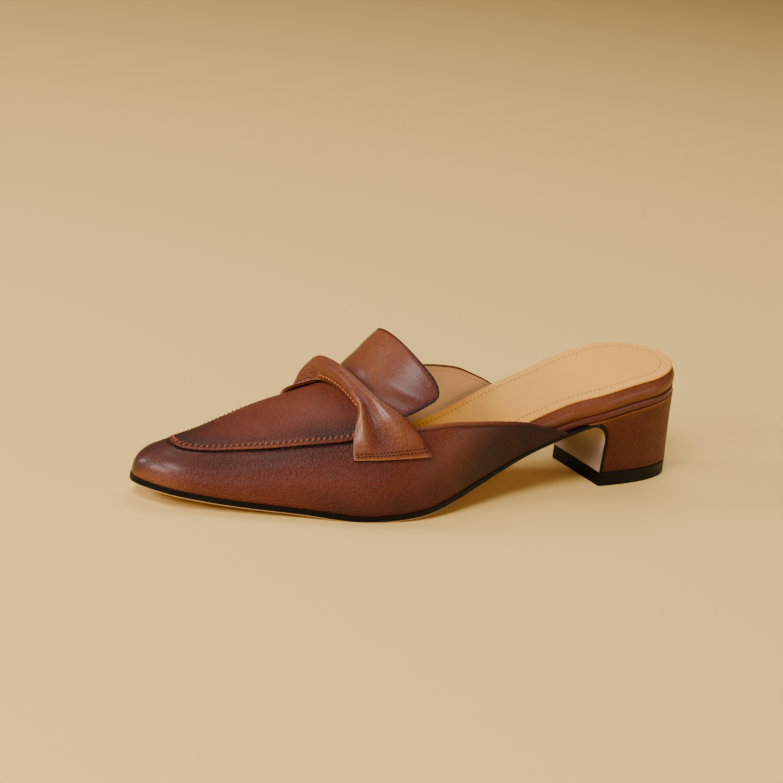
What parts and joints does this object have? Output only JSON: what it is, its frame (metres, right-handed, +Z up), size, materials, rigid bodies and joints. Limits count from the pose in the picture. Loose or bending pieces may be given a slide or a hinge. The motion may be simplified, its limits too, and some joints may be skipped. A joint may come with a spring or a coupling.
{
  "type": "mule shoe",
  "caption": "Women's pointed-toe leather mule with an apron front, twisted saddle strap, raised tongue, open back and a low block heel.",
  "frame": {"origin": "centre of the whole shoe's box in plan, on the ground plane", "axes": "+Z up, +X from the toe to the heel, -Y to the outer (lateral) side of this left shoe"},
  "size_m": [0.2502, 0.0802, 0.0658],
  "materials": {
    "brown_leather": "burnished brown calf leather with a soft shine",
    "tan_lining": "matt beige-tan lining leather",
    "sole_leather": "beige sole with a black painted edge",
    "black_rubber": "black, smooth, slightly glossy"
  },
  "bodies": {
    "root": {"outsole": "sole_leather", "heel": "brown_leather", "top_lift": "black_rubber", "insole_board": "brown_leather", "footbed": "brown_leather", "sock": "tan_lining", "upper": "brown_leather", "apron": "brown_leather", "strap": "brown_leather", "tongue": "brown_leather"}
  },
  "joints": []
}
